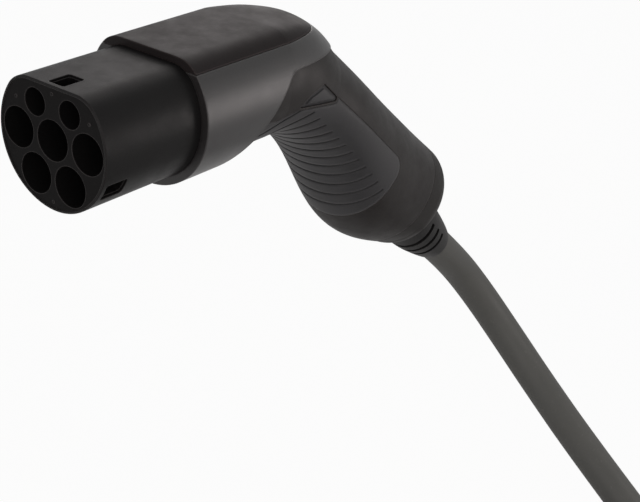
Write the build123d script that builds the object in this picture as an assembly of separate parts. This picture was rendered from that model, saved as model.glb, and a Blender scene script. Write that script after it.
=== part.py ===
from build123d import *
import math
import os

# Charging plug with an angled handle, in millimetres.
# The origin is the centre of the nose's front rim. +X runs back along the plug's axis, +Z is up,
# towards the flat of the nose, and the handle drops away from the axis behind the elbow.
# A place on the handle is given by s, along it, t, across it towards its back, and y.

# ---- driving dimensions -------------------------------------------------------------------------

# nose
nose_radius = 24.8
nose_flat_height = 19.0
nose_corner_radius = 11.5
nose_wall = 0.9
nose_length = 43.9
nose_edge_chamfer = 0.35
flange_step = 0.7
flange_thickness = 2.0
seal_thickness = 1.2

# contacts
pin_pitch = 16.0
pilot_spread = 15.9
pilot_height = 11.1
power_cavity_diameter = 14.2
pilot_cavity_diameter = 9.6
power_pin_diameter = 6.0
pilot_pin_diameter = 3.0
pin_tip_depth = 9.0
insulating_tip_length = 3.0
tip_spigot_length = 1.8
tip_spigot_share = 0.5
tip_rounding_share = 0.5
cavity_depth = 42.0
carrier_setback = 0.3
carrier_length = 50.0
carrier_clearance = 0.1
pip_radius = 0.55
pip_height = 0.2
pin_root_step = 0.5
pin_root_rise = 1.0
shoulder_thickness = 2.0
shoulder_step = 1.8
retainer_thickness = 3.0
barrel_length = 12.0
barrel_wall = 1.4
barrel_bore_depth = 8.0
hole_clearance = 0.05
fit_gap = 0.1
retainer_screw_radius = 1.5
retainer_screw_head_radius = 2.6
retainer_screw_head_height = 1.8
retainer_screw_length = 20.0
side_screw_reach = 20.2
top_screw_height = 12.6
resistor_length = 5.0
resistor_radius = 1.2
resistor_lead_radius = 0.35

# locking recesses in the nose
recess_start = 1.9
recess_length = 9.5
recess_width = 7.2
recess_corner = 1.0
side_recess_floor = 20.2
top_recess_floor = 14.2

# hood and handle outline
hood_radius = 28.06
hood_flat_height = 21.7
hood_corner_radius = 10.9
hood_wall = 1.9
hood_lip = 2.6
handle_angle = 40.0
bend_start = 92.0
handle_start = 98.0
handle_power = 2.1
bend_corner_radius = 24.0
hood_end = 63.5
hood_shoulder_height = 8.8
hood_shoulder_radius = 8.0
core_step = 3.4
core_setback = 0.25
handle_wall = 4.2
back_wall = 2.4
flange_seat = 1.2
core_start = 56.0
cover_split_height = 17.3
seam_gap = 0.2
cap_start = 197.0
cap_spigot_length = 4.0
cap_spigot_wall = 1.6

# (place along the handle, lower edge, back edge, half width, step of the core under the skin)
handle_stations = [
    (handle_start, 47.0, 89.5, 25.5, 1.2),
    (112.0, 50.0, 89.4, 25.2, 0.5),
    (126.0, 50.0, 89.4, 24.9, 0.0),
    (140.0, 46.7, 89.5, 24.6, 0.0),
    (156.0, 40.9, 89.8, 24.3, 0.0),
    (175.0, 36.5, 90.2, 23.9, 0.0),
    (194.0, 38.6, 90.6, 23.4, 0.0),
    (206.0, 42.4, 90.9, 23.1, 0.0),
]
# (place along the handle, how far the outline is drawn in) for the rounded end
end_stations = [(213.5, 2.6), (218.0, 7.0), (220.0, 12.0)]

# grip inlay and cheek panel
inlay_thickness = 2.0
inlay_gap = 0.12
inlay_seam = 70.4
inlay_end = 163.5
inlay_corner = 7.0
inlay_front = [(hood_end + 0.3, 42.0), (73.9, 47.9), (80.2, 55.3), (99.3, 68.0)]
groove_count = 13
groove_base = 46.0
groove_foot = 36.0
groove_first = 76.0
groove_last = 157.0
groove_lean_first = 0.6
groove_lean_last = 0.3
groove_top_first = 60.0
groove_top_last = 56.0
groove_width = 1.0
groove_depth = 1.0
panel_corners = [(80.4, 56.6), (82.0, 63.4), (86.4, 70.2), (98.6, 70.2), (98.6, 68.6)]
panel_corner_radius = 0.5
panel_frame = 1.5
panel_pocket_depth = 1.6
panel_step_depth = 0.5

# cable and what holds it
cable_diameter = 16.4
cable_height = 61.2
cable_inside_start = 176.0
boot_tip = 257.0
boot_root_radius = 13.0
boot_tip_wall = 0.9
boot_taper = [(226.0, 0.0), (236.0, 0.4), (247.0, 1.9)]
boot_flange_radius = 15.0
boot_flange_thickness = 3.0
boot_flange_start = 206.0
slot_start = 229.0
slot_count = 3
slot_pitch = 7.2
slot_width = 2.6
slot_floor = 0.5
lower_slot_level = 2.4
upper_slot_level = 9.1
cable_seal_thickness = 4.0
cable_seal_radius = 12.5
cap_collar_wall = 2.0
cap_cavity_end = 207.0
cap_rim = [(214.5, 40.0), (221.0, 95.0)]
clamp_start = 182.0
clamp_length = 10.0
clamp_half_width = 16.0
clamp_rise = 11.0
clamp_gap = 0.4
clamp_screw_spread = 12.2
clamp_screw_radius = 1.6
clamp_screw_head_radius = 2.8
clamp_screw_head_height = 2.0
clamp_screw_grip = 8.0

# cores inside the cable
power_core_radius = 2.2
pilot_core_radius = 0.9
core_corner_scale = 0.36
core_cable_scale = 0.306
core_bend_radius = 12.0
core_straight = 3.0
core_lift = 2.4
core_end_gap = 0.2

# route of the cable from the boot to the coil, as points chosen by hand
cable_route = [
    (272.5, -8.0, -157.0),
    (279.5, -23.5, -178.0),
    (280.0, -45.5, -198.0),
    (273.0, -76.0, -216.0),
    (265.0, -133.0, -251.0),
    (264.6, -170.0, -265.4),
]
first_run = 28.0
coil_centre = (150.0, -205.0)
floor_height = -290.0
coil_inner_turn = 65.4
coil_columns = 4
coil_layers = 2
tail_length = 90.0
end_core_length = 32.0
end_core_spread = 1.6
ferrule_length = 12.0
ferrule_wall = 0.3
tie_angles = (70.0, 180.0, 290.0)
tie_width = 14.0
tie_thickness = 1.4

SECTION_POINTS = 32
BEND_STEPS = 6
FAR = 400.0


# ---- helpers ------------------------------------------------------------------------------------

def export(node, shape):
    """Write one sub-part to its own STEP file."""
    os.makedirs("parts", exist_ok=True)
    shape.label = node
    export_step(shape, f"parts/{node}.step")


slope = math.radians(handle_angle)
ALONG = Vector(math.cos(slope), 0, -math.sin(slope))
OUT = Vector(math.sin(slope), 0, math.cos(slope))
SIDE = Vector(0, 1, 0)
HANDLE_VIEW = Plane(origin=(0, 0, 0), x_dir=tuple(ALONG), z_dir=(0, -1, 0))
HANDLE_FLOOR = Plane(origin=(0, 0, 0), x_dir=tuple(ALONG), z_dir=tuple(OUT))
CABLE_VIEW = Plane(origin=tuple(OUT * cable_height), x_dir=tuple(ALONG), z_dir=(0, -1, 0))
CABLE_AXIS = Axis(tuple(OUT * cable_height), tuple(ALONG))
boot_flange_end = boot_flange_start + boot_flange_thickness


def on_handle(s, t, y=0.0):
    """The point at place s along the handle, height t across it and y to the side."""
    return ALONG * s + OUT * t + SIDE * y


def handle_plane(s, t=0.0):
    """A plane across the handle, with its x towards +Y and its normal down the handle."""
    return Plane(origin=on_handle(s, t), x_dir=(0, 1, 0), z_dir=tuple(ALONG))


def across_axis(x):
    """The plane across the plug's axis at x, with its x towards +Y and its y up."""
    return Plane(origin=(x, 0, 0), x_dir=(0, 1, 0), z_dir=(1, 0, 0))


def along_axis(outline, start, end):
    """An outline pushed along the plug's axis from start to end."""
    return extrude(across_axis(start) * outline, end - start)


def rod(x0, x1, radius, y=0.0, z=0.0):
    """A round rod along the plug's axis."""
    return along_axis(Pos(y, z) * Circle(radius), x0, x1)


def handle_rod(s0, s1, radius, t, y=0.0):
    """A round rod along the handle."""
    return extrude(handle_plane(s0, t) * Pos(y, 0) * Circle(radius), s1 - s0)


def flat_circle(radius, flat, corner):
    """A circle with a flat top at height flat and rounded corners."""
    face = Circle(radius) & Pos(0, flat - 2 * radius) * Rectangle(4 * radius, 4 * radius)
    return fillet(face.vertices(), corner)


def nose_outline(inset=0.0):
    """The nose's outline, drawn in by inset."""
    return flat_circle(nose_radius - inset, nose_flat_height - inset, nose_corner_radius - inset)


def hood_outline(inset=0.0):
    """The hood's outline, drawn in by inset."""
    return flat_circle(hood_radius - inset, hood_flat_height - inset, hood_corner_radius - inset)


def rounded_prism(plane, corners, rounding=0.0, both=True):
    """A prism from corners in a plane, with every corner rounded, to one side or to both."""
    outline = make_face(Polyline(*corners, close=True))
    if rounding:
        outline = fillet(outline.vertices(), rounding)
    return extrude(plane * outline, FAR, both=both)


def beyond(s):
    """Everything past place s along the handle."""
    return extrude(handle_plane(s) * Rectangle(FAR, FAR), FAR)


def slab(s0, s1):
    """Everything between two places along the handle."""
    return extrude(handle_plane(s0) * Rectangle(FAR, FAR), s1 - s0)


# ---- outline of the hood and handle ---------------------------------------------------------------

def flat_circle_reach(theta, radius, flat, corner):
    """Distance from the centre to a circle with a flat top and rounded corners, at an angle."""
    side, rise = abs(math.cos(theta)), math.sin(theta)
    corner_z = flat - corner
    corner_y = math.sqrt((radius - corner) ** 2 - corner_z ** 2)
    if rise * corner_y <= side * corner_z:
        return radius
    if side * flat <= corner_y * rise:
        return flat / rise
    near = side * corner_y + rise * corner_z
    off = side * corner_z - rise * corner_y
    return near + math.sqrt(corner ** 2 - off ** 2)


def oval_reach(theta, half_width, half_height):
    """Distance from the centre to the handle's oval, at an angle."""
    side = abs(math.cos(theta) / half_width) ** handle_power
    rise = abs(math.sin(theta) / half_height) ** handle_power
    return (side + rise) ** (-1 / handle_power)


# The hood's last cross plane and the handle's first one meet on this line.
pivot_x = bend_start
pivot_z = (math.cos(slope) * bend_start - handle_start) / math.sin(slope)
pivot_t = math.sin(slope) * pivot_x + math.cos(slope) * pivot_z
PIVOT = Vector(pivot_x, 0, pivot_z)
bend_radius = (hood_flat_height - pivot_z + handle_stations[0][2] - pivot_t) / 2


def drawn_in(y, z, half_width, top, bottom, sides, back):
    """A section point moved inwards: sides is for the cheeks and underside, back for the back."""
    y *= (half_width - sides) / half_width
    z *= (top - back) / top if z > 0 else (bottom - sides) / bottom
    return y, z


def hood_ring(theta, sides, back):
    """A point of the hood's outline about the plug's axis."""
    reach = flat_circle_reach(theta, hood_radius, hood_flat_height, hood_corner_radius)
    y, z = reach * math.cos(theta), reach * math.sin(theta)
    return drawn_in(y, z, hood_radius, hood_flat_height, hood_radius, sides, back)


def handle_ring(theta, station, sides, back):
    """A point of the handle's outline at one station, as y and t."""
    _, low, high, half_width, _ = station
    half = (high - low) / 2
    reach = oval_reach(theta, half_width, half)
    y, z = reach * math.cos(theta), reach * math.sin(theta)
    y, z = drawn_in(y, z, half_width, half, half, sides, back)
    return y, z + (high + low) / 2


def angles():
    """The angles of a section's points."""
    return [2 * math.pi * (i + 0.5) / SECTION_POINTS for i in range(SECTION_POINTS)]


def closed_outline(points):
    """A smooth closed outline through points, spaced evenly along it so that sections match."""
    places = [i / len(points) for i in range(len(points) + 1)]
    return Wire([Edge.make_spline(points, periodic=True, parameters=places)])


def hood_section(x, sides, back):
    """The outline across the plug's axis at x."""
    ring = [hood_ring(theta, sides, back) for theta in angles()]
    return closed_outline([Vector(x, y, z) for y, z in ring])


def corner_swell(share):
    """How far the back of the elbow stands outside a plain arc about the pivot."""
    turn = slope * min(share, 1 - share)
    straight = bend_radius - bend_corner_radius
    if math.tan(turn) * bend_radius < straight * math.tan(slope / 2):
        return bend_radius / math.cos(turn) - bend_radius
    centre = straight / math.cos(slope / 2)
    off = slope / 2 - turn
    reach = math.sqrt(bend_corner_radius ** 2 - (centre * math.sin(off)) ** 2)
    return centre * math.cos(off) + reach - bend_radius


def bend_section(share, sides, back):
    """The outline at a share of the bend, between the hood's outline and the handle's."""
    turn = slope * share
    up = Vector(math.sin(turn), 0, math.cos(turn))
    morph = share ** 1.8
    points = []
    for theta in angles():
        hood_y, hood_z = hood_ring(theta, sides, back)
        arm_y, arm_t = handle_ring(theta, handle_stations[0], sides, back)
        swell = corner_swell(share) * max(0.0, math.sin(theta)) ** 2
        rise = (1 - share) * (hood_z - pivot_z) + share * (arm_t - pivot_t) + swell
        points.append(PIVOT + up * rise + SIDE * ((1 - morph) * hood_y + morph * arm_y))
    return closed_outline(points)


def handle_section(s, station, sides, back):
    """The outline across the handle at s."""
    ring = [handle_ring(theta, station, sides, back) for theta in angles()]
    return closed_outline([on_handle(s, t, y) for y, t in ring])


def bend(sides, back, core):
    """The elbow between the hood and the handle, drawn in by sides and back."""
    hood_step = core_step if core else 0.0
    first_step = handle_stations[0][4] if core else 0.0
    sections = [hood_section(bend_start, sides + hood_step, back)]
    for i in range(1, BEND_STEPS):
        share = i / BEND_STEPS
        step = hood_step + share * (first_step - hood_step)
        sections.append(bend_section(share, sides + step, back))
    sections.append(handle_section(handle_start, handle_stations[0], sides + first_step, back))
    return Solid.make_loft(sections)


def arm(sides=0.0, back=0.0, core=False):
    """The bend and the handle, drawn in by sides and back.

    core keeps the cheeks and the underside below the hood's skin by the core's step.
    """
    sections = []
    for station in handle_stations:
        step = station[4] if core else 0.0
        sections.append(handle_section(station[0], station, sides + step, back))
    last = handle_stations[-1]
    ends = [sections[-1]]
    for s, inset in end_stations:
        ends.append(handle_section(s, last, sides + inset, back + inset))
    return bend(sides, back, core) + Solid.make_loft(sections) + Solid.make_loft(ends)


def hood_run(start, sides=0.0, back=0.0):
    """The straight run of the hood's form from start to the bend, drawn in by sides and back."""
    return extrude(Face(hood_section(start, sides, back)), bend_start - start, dir=(1, 0, 0))


def skin_form():
    """The outer form of the hood and the bend."""
    return hood_run(nose_length) + arm()


def core_form(start, inset=0.0):
    """The form below the hood's skin, drawn in further by inset."""
    run = hood_run(start, core_step + inset, core_setback + inset)
    return run + arm(inset, core_setback + inset, core=True)


# ---- nose and contacts ----------------------------------------------------------------------------

seal_start = nose_length + hood_lip
flange_start = seal_start + seal_thickness
nose_end = flange_start + flange_thickness
retainer_end = carrier_length + retainer_thickness
barrel_end = retainer_end + barrel_length
pin_start = pin_tip_depth + insulating_tip_length
carrier_inset = nose_wall + carrier_clearance
row_drop = pin_pitch * math.sqrt(3) / 2

POWER = (power_pin_diameter / 2, power_cavity_diameter / 2, power_core_radius)
PILOT = (pilot_pin_diameter / 2, pilot_cavity_diameter / 2, pilot_core_radius)
CONTACTS = {
    "pe": (0.0, 0.0, POWER),
    "n": (pin_pitch, 0.0, POWER),
    "l1": (-pin_pitch, 0.0, POWER),
    "l2": (-pin_pitch / 2, -row_drop, POWER),
    "l3": (pin_pitch / 2, -row_drop, POWER),
    "cp": (pilot_spread / 2, pilot_height, PILOT),
    "pp": (-pilot_spread / 2, pilot_height, PILOT),
}
RECESSES = [(0, top_recess_floor), (120, side_recess_floor), (-120, side_recess_floor)]
RETAINER_SCREWS = [(0, top_screw_height), (120, side_screw_reach), (-120, side_screw_reach)]
FACE_PIPS = [(16.9, 10.6), (-16.9, 10.6), (0.0, 16.0), (0.0, -21.7)]


def recess_cutters():
    """The three locking recesses: one in the flat and one at each lower side."""
    middle = recess_start + recess_length / 2
    outline = RectangleRounded(recess_length, recess_width, recess_corner)
    cutters = []
    for turn, floor in RECESSES:
        cut = extrude(Pos(middle, 0, floor) * outline, FAR)
        cutters.append(Rot(turn, 0, 0) * cut)
    return cutters


def nose_shell():
    """The thin D-shaped tube round the contacts, with the flange that the hood traps."""
    blank = along_axis(nose_outline(), 0, nose_end)
    rim = blank.faces().sort_by(Axis.X)[0]
    shell = chamfer(rim.edges(), nose_edge_chamfer)
    shell += along_axis(hood_outline(hood_wall + fit_gap), flange_start, nose_end)
    shell -= along_axis(nose_outline(nose_wall), 0, nose_end)
    return shell - recess_cutters()


def nose_seal():
    """The seal between the nose's flange and the hood's lip."""
    ring = along_axis(hood_outline(hood_wall + fit_gap), seal_start, flange_start)
    return ring - along_axis(nose_outline(-hole_clearance), seal_start, flange_start)


def contact_carrier():
    """The insulating block with a deep round well for each contact."""
    block = along_axis(nose_outline(carrier_inset), carrier_setback, cavity_depth)
    for y, z, (_, well_radius, _) in CONTACTS.values():
        block -= rod(carrier_setback, cavity_depth, well_radius, y, z)
    block -= recess_cutters()
    for turn, reach in RETAINER_SCREWS:
        block -= Rot(turn, 0, 0) * screw_hole(cavity_depth, reach)
    for y, z in FACE_PIPS:
        block += rod(carrier_setback - pip_height, carrier_setback + pip_height, pip_radius, y, z)
    return block


def contact_base():
    """The insulating block behind the wells that the pins stand in."""
    block = along_axis(nose_outline(carrier_inset), cavity_depth, carrier_length)
    shoulder_start = carrier_length - shoulder_thickness
    for y, z, (pin_radius, _, _) in CONTACTS.values():
        root_radius = pin_radius + pin_root_step + hole_clearance
        block -= rod(cavity_depth, shoulder_start, root_radius, y, z)
        shoulder_radius = pin_radius + shoulder_step + hole_clearance
        block -= rod(shoulder_start, carrier_length, shoulder_radius, y, z)
    for turn, reach in RETAINER_SCREWS:
        block -= Rot(turn, 0, 0) * screw_hole(carrier_length, reach)
    return block


def screw_hole(end, reach):
    """The hole of a retainer screw, up to a place along the plug's axis."""
    start = retainer_end - retainer_screw_length
    return rod(start, end, retainer_screw_radius + hole_clearance, 0, reach)


def contact_pin(y, z, pin_radius, core_radius):
    """A contact pin with its thicker root, its shoulder and the barrel that its core goes into."""
    barrel_radius = core_radius + hole_clearance + barrel_wall
    pin = rod(pin_start, carrier_length, pin_radius, y, z)
    pin += rod(cavity_depth - pin_root_rise, carrier_length, pin_radius + pin_root_step, y, z)
    pin += rod(carrier_length - shoulder_thickness, carrier_length, pin_radius + shoulder_step, y, z)
    pin += rod(carrier_length, barrel_end, barrel_radius, y, z)
    pin -= rod(barrel_end - barrel_bore_depth, barrel_end, core_radius + hole_clearance, y, z)
    pin -= rod(pin_start, pin_start + tip_spigot_length, pin_radius * tip_spigot_share, y, z)
    return pin


def pin_tip(y, z, pin_radius):
    """The touch-safe tip on the front of a pin, plugged into it."""
    cap = rod(pin_tip_depth, pin_start, pin_radius, y, z)
    cap = fillet(cap.faces().sort_by(Axis.X)[0].edges(), pin_radius * tip_rounding_share)
    spigot_radius = pin_radius * tip_spigot_share - hole_clearance
    return cap + rod(pin_start, pin_start + tip_spigot_length, spigot_radius, y, z)


def contact_retainer():
    """The plate that keeps the pins' shoulders in the base."""
    plate = along_axis(nose_outline(carrier_inset), carrier_length, retainer_end)
    for y, z, (_, _, core_radius) in CONTACTS.values():
        barrel_radius = core_radius + hole_clearance + barrel_wall
        plate -= rod(carrier_length, retainer_end, barrel_radius + hole_clearance, y, z)
    for turn, reach in RETAINER_SCREWS:
        plate -= Rot(turn, 0, 0) * screw_hole(retainer_end, reach)
    return plate


def retainer_screw():
    """One screw of the retainer, on the plug's axis."""
    screw = rod(retainer_end - retainer_screw_length, retainer_end, retainer_screw_radius)
    head_end = retainer_end + retainer_screw_head_height
    screw += rod(retainer_end, head_end, retainer_screw_head_radius)
    socket = RegularPolygon(retainer_screw_radius * 0.75, 6)
    return screw - along_axis(socket, head_end - retainer_screw_head_height / 2, head_end)


def retainer_screws():
    """The retainer's three screws."""
    return [Rot(turn, 0, 0) * Pos(0, 0, reach) * retainer_screw() for turn, reach in RETAINER_SCREWS]


def coding_resistor():
    """The resistor between the earth pin and the proximity pin, which codes the cable's size."""
    x = (retainer_end + barrel_end) / 2
    start = Vector(x, 0, 0)
    end = Vector(x, CONTACTS["pp"][0], CONTACTS["pp"][1])
    way = (end - start).normalized()
    earth_face = power_core_radius + hole_clearance + barrel_wall
    pilot_face = pilot_core_radius + hole_clearance + barrel_wall
    free = (end - start).length - earth_face - pilot_face
    body_start = start + way * (earth_face + (free - resistor_length) / 2)
    body = extrude(Plane(origin=body_start, z_dir=way) * Circle(resistor_radius), resistor_length)
    lead_start = start + way * (earth_face + hole_clearance)
    lead_length = free - 2 * hole_clearance
    lead = extrude(Plane(origin=lead_start, z_dir=way) * Circle(resistor_lead_radius), lead_length)
    return fillet(body.edges(), resistor_radius * 0.3) + lead


# ---- housing --------------------------------------------------------------------------------------

cavity_start = retainer_end + retainer_screw_head_height + fit_gap


def shoulder_region():
    """Where the handle's own form shows: behind the hood's rear edge and below its shoulder."""
    edge_x = (hood_end + math.sin(slope) * hood_shoulder_height) / math.cos(slope)
    low_x = (hood_end - math.sin(slope) * FAR / 2) / math.cos(slope)
    corners = [(edge_x, hood_shoulder_height), (FAR, hood_shoulder_height), (FAR, -FAR / 2), (low_x, -FAR / 2)]
    return rounded_prism(Plane.XZ, corners, hood_shoulder_radius)


def cavity():
    """The room inside the hood and the handle."""
    run = hood_run(cavity_start, core_step + handle_wall, back_wall)
    room = run + arm(handle_wall, back_wall, core=True)
    room += along_axis(hood_outline(hood_wall + flange_seat), nose_end, cavity_start)
    room += along_axis(hood_outline(hood_wall), seal_start, nose_end)
    return room + along_axis(nose_outline(-hole_clearance), nose_length, seal_start)


def above_split(gap=0.0):
    """Everything above the seam of the hood's cover."""
    return extrude(Plane.XY.offset(cover_split_height + gap) * Rectangle(FAR, FAR), FAR)


def inlay_prism(inset=0.0):
    """The grip inlay's side profile, drawn in by inset, pushed across the handle."""
    corners = [(inlay_front[0][0], 0.0), *inlay_front]
    corners += [(inlay_front[-1][0], inlay_seam), (inlay_end, inlay_seam), (inlay_end, 0.0)]
    outline = make_face(Polyline(*corners, close=True))
    corner = outline.vertices().sort_by_distance(Vector(inlay_end, inlay_seam, 0))[0]
    outline = fillet(corner, inlay_corner)
    if inset:
        outline = offset(outline, -inset)
    return extrude(HANDLE_VIEW * outline, FAR, both=True)


def groove_prisms():
    """The grip's grooves as thin slabs that fan out from the inner elbow."""
    prisms = []
    for i in range(groove_count):
        share = i / (groove_count - 1)
        low = groove_first + (groove_last - groove_first) * share
        lean = groove_lean_first + (groove_lean_last - groove_lean_first) * share
        top = groove_top_first + (groove_top_last - groove_top_first) * share ** 3
        high = low + lean * (top - groove_base)
        start = low - lean * (groove_base - groove_foot)
        half = groove_width / 2
        corners = [(start - half, groove_foot), (start + half, groove_foot), (high + half, top), (high - half, top)]
        prisms.append(rounded_prism(HANDLE_VIEW, corners))
    return prisms


def panel_prism(inset=0.0):
    """The cheek panel's side profile, drawn in by inset, on the near side only."""
    outline = make_face(Polyline(*panel_corners, close=True))
    outline = fillet(outline.vertices(), panel_corner_radius)
    if inset:
        outline = offset(outline, -inset)
    return extrude(HANDLE_VIEW * outline, FAR)


def clamp_saddle():
    """The saddle under the cable, moulded across the inside of the handle."""
    low = slab(clamp_start, clamp_start + clamp_length)
    below = extrude(HANDLE_FLOOR.offset(cable_height - clamp_gap / 2) * Rectangle(2 * FAR, FAR), -FAR)
    saddle = low & below
    saddle -= handle_rod(clamp_start, clamp_start + clamp_length, cable_diameter / 2, cable_height)
    for side in (-1, 1):
        saddle -= clamp_screw_hole(side)
    return saddle


def clamp_screw_hole(side):
    """The hole of a clamp screw in the clamp and its saddle."""
    middle = clamp_start + clamp_length / 2
    foot = cable_height - clamp_screw_grip
    place = HANDLE_FLOOR.offset(foot) * Pos(middle, side * clamp_screw_spread)
    return extrude(place * Circle(clamp_screw_radius + hole_clearance), FAR)


def housing_body(room, core, floor, panel_floor):
    """The hood and handle in one moulding, open on top and at its lower end."""
    body = skin_form() - shoulder_region()
    body += core - beyond(cap_start)
    body -= room - clamp_saddle()
    body -= above_split()
    body -= inlay_prism() - floor
    return body - (panel_prism() - panel_floor)


def hood_cover(room):
    """The lid on the hood and the back of the elbow."""
    return (skin_form() & above_split(seam_gap)) - room


def grip_inlay(core, floor):
    """The soft ribbed inlay on the underside and cheeks of the handle."""
    inlay = (core & inlay_prism(inlay_gap)) - floor
    groove_floor = core.moved(Location(OUT * groove_depth))
    grooves = [prism - groove_floor for prism in groove_prisms()]
    return inlay - grooves


def cheek_panel(core, panel_floor, panel_step):
    """The small plain panel beside the inner elbow, raised inside its border."""
    panel = (core & panel_prism(inlay_gap)) - panel_floor
    border = panel_prism() - panel_prism(panel_frame)
    return panel - (border - panel_step)


def end_cap(core):
    """The cap on the handle's end, with a spigot into the handle and a collar for the boot."""
    spigot_inset = handle_wall + fit_gap
    spigot_start = cap_start - cap_spigot_length
    inside = arm(spigot_inset + cap_spigot_wall, back_wall + fit_gap + cap_spigot_wall, core=True)
    collar_radius = boot_flange_radius + fit_gap + cap_collar_wall
    collar = handle_rod(cap_start, cap_cavity_end, collar_radius, cable_height)
    cap = core & beyond(cap_start + seam_gap)
    spigot = arm(spigot_inset, back_wall + fit_gap, core=True)
    cap += spigot & slab(spigot_start, cap_start + 2 * seam_gap)
    cap -= (inside & slab(spigot_start, cap_cavity_end)) - collar
    cap -= handle_rod(spigot_start, boot_flange_end, boot_flange_radius + fit_gap, cable_height)
    cap -= handle_rod(spigot_start, boot_tip, boot_root_radius + fit_gap, cable_height)
    rim = [*cap_rim, (FAR, cap_rim[1][1]), (FAR, cap_rim[0][1])]
    return cap - rounded_prism(HANDLE_VIEW, rim)


# ---- cable entry ----------------------------------------------------------------------------------

def cable_boot():
    """The tapered boot that keeps the cable from bending sharply, with slots that let it flex."""
    bore = cable_diameter / 2 + hole_clearance
    tip_radius = bore + boot_tip_wall
    taper = [(s, boot_root_radius - drop) for s, drop in boot_taper]
    profile = Polyline((boot_tip, tip_radius), (boot_tip, bore), (boot_flange_start, bore),
                       (boot_flange_start, boot_flange_radius), (boot_flange_end, boot_flange_radius),
                       (boot_flange_end, boot_root_radius), taper[0])
    profile += Spline(*taper, (boot_tip, tip_radius), tangents=[(1, 0), (4, -1)])
    boot = revolve(CABLE_VIEW * make_face(profile), CABLE_AXIS)
    return boot - boot_slots(bore + slot_floor)


def boot_slots(floor_radius):
    """Rows of slots round the boot: below and to the sides, and between them on the back."""
    slots = []
    for row in range(2 * slot_count):
        s = slot_start + (row - 1) * slot_pitch / 2
        ring = handle_rod(s, s + slot_width, boot_flange_radius, cable_height)
        ring -= handle_rod(s, s + slot_width, floor_radius, cable_height)
        if row % 2:
            web = Pos(0, lower_slot_level + FAR / 2) * Rectangle(FAR, FAR)
        else:
            web = Pos(0, upper_slot_level - FAR / 2) * Rectangle(FAR, FAR)
        slots.append(ring - extrude(handle_plane(s, cable_height) * web, slot_width))
    return slots


def cable_seal():
    """The ring that seals the cable in the cap's collar."""
    start = boot_flange_start - cable_seal_thickness
    ring = handle_rod(start, boot_flange_start, cable_seal_radius, cable_height)
    return ring - handle_rod(start, boot_flange_start, cable_diameter / 2 + hole_clearance, cable_height)


def cable_clamp():
    """The bridge that holds the cable down on its saddle."""
    middle = clamp_start + clamp_length / 2
    place = HANDLE_FLOOR.offset(cable_height + clamp_gap / 2) * Pos(middle, 0)
    bridge = extrude(place * RectangleRounded(clamp_length, 2 * clamp_half_width, 2.0), clamp_rise)
    bridge -= handle_rod(clamp_start, clamp_start + clamp_length, cable_diameter / 2, cable_height)
    for side in (-1, 1):
        bridge -= clamp_screw_hole(side)
    return bridge


def clamp_screws():
    """The clamp's two screws."""
    top = cable_height + clamp_gap / 2 + clamp_rise
    middle = clamp_start + clamp_length / 2
    screws = []
    for side in (-1, 1):
        here = Pos(middle, side * clamp_screw_spread)
        foot = HANDLE_FLOOR.offset(cable_height - clamp_screw_grip)
        shank = extrude(foot * here * Circle(clamp_screw_radius), clamp_screw_grip + top - cable_height)
        head = extrude(HANDLE_FLOOR.offset(top) * here * Circle(clamp_screw_head_radius), clamp_screw_head_height)
        screws.append(shank + head)
    return screws


def tube(points, radii, radius):
    """A round tube along straight runs joined by tangent arcs."""
    path = FilletPolyline(*points, radius=radii)
    start = Plane(origin=path @ 0, z_dir=path % 0)
    return sweep(start * Circle(radius), path=path)


def core_wire(y, z, core_radius):
    """One core, from its pin's barrel through the elbow to the cable."""
    corner_x = (cable_height + core_lift) / math.sin(slope)
    end = cable_inside_start - core_end_gap
    mitre = Vector(math.sin(slope / 2), 0, math.cos(slope / 2)) / math.cos(slope / 2)
    points = [
        Vector(barrel_end - barrel_bore_depth + fit_gap, y, z),
        Vector(barrel_end + core_straight, y, z),
        Vector(corner_x, y * core_corner_scale, 0) + mitre * z * core_corner_scale,
        on_handle(end, cable_height + z * core_cable_scale, y * core_cable_scale),
    ]
    if y == 0 and z == 0:
        points.pop(1)
    return tube(points, core_bend_radius, core_radius)


# ---- cable ----------------------------------------------------------------------------------------

cable_radius = cable_diameter / 2
coil_outer_turn = coil_inner_turn + (coil_columns - 1) * cable_diameter
coil_top = floor_height + coil_layers * cable_diameter


def arc_radii(points):
    """The radius of the arc at each inner point: 0.45 of its shorter run over tan(half the turn)."""
    radii = []
    for before, here, after in zip(points, points[1:], points[2:]):
        run_in, run_out = here - before, after - here
        half_turn = math.radians(run_in.get_angle(run_out)) / 2
        radii.append(0.45 * min(run_in.length, run_out.length) / math.tan(half_turn))
    return radii


def cable_points():
    """The cable's route from the boot's tip to the coil's outer turn."""
    start = on_handle(boot_tip, cable_height)
    end = Vector(coil_centre[0] + coil_outer_turn, coil_centre[1], coil_top - cable_radius)
    return [start, start + ALONG * first_run, *[Vector(*point) for point in cable_route], end]


def cable_run():
    """The hanging cable, from the boot to the coil."""
    points = cable_points()
    radii = arc_radii(points)
    print("cable radii", [round(radius, 1) for radius in radii])
    run = tube(points, radii, cable_radius)
    print("cable run length", round(run.volume / (math.pi * cable_radius ** 2), 1))
    return run


def cable_tail():
    """The cable's free end, straight off the coil's outer turn on the floor."""
    x, y = coil_centre[0] + coil_outer_turn, coil_centre[1]
    start = Plane(origin=(x, y, floor_height + cable_radius), z_dir=(0, -1, 0))
    return extrude(start * Circle(cable_radius), tail_length)


def ring(inner, outer, low, high):
    """A flat ring about the coil's centre."""
    face = Circle(outer) - Circle(inner)
    return extrude(Pos(*coil_centre, low) * face, high - low)


def cable_coil(run, tail, ties):
    """The outer shape of the put-away cable, wound in flat layers."""
    inner = coil_inner_turn - cable_radius
    outer = coil_outer_turn + cable_radius
    coil = ring(inner, outer, floor_height, coil_top)
    coil = fillet(coil.edges(), cable_radius * 0.9)
    return coil - [run, tail, *ties]


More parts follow.
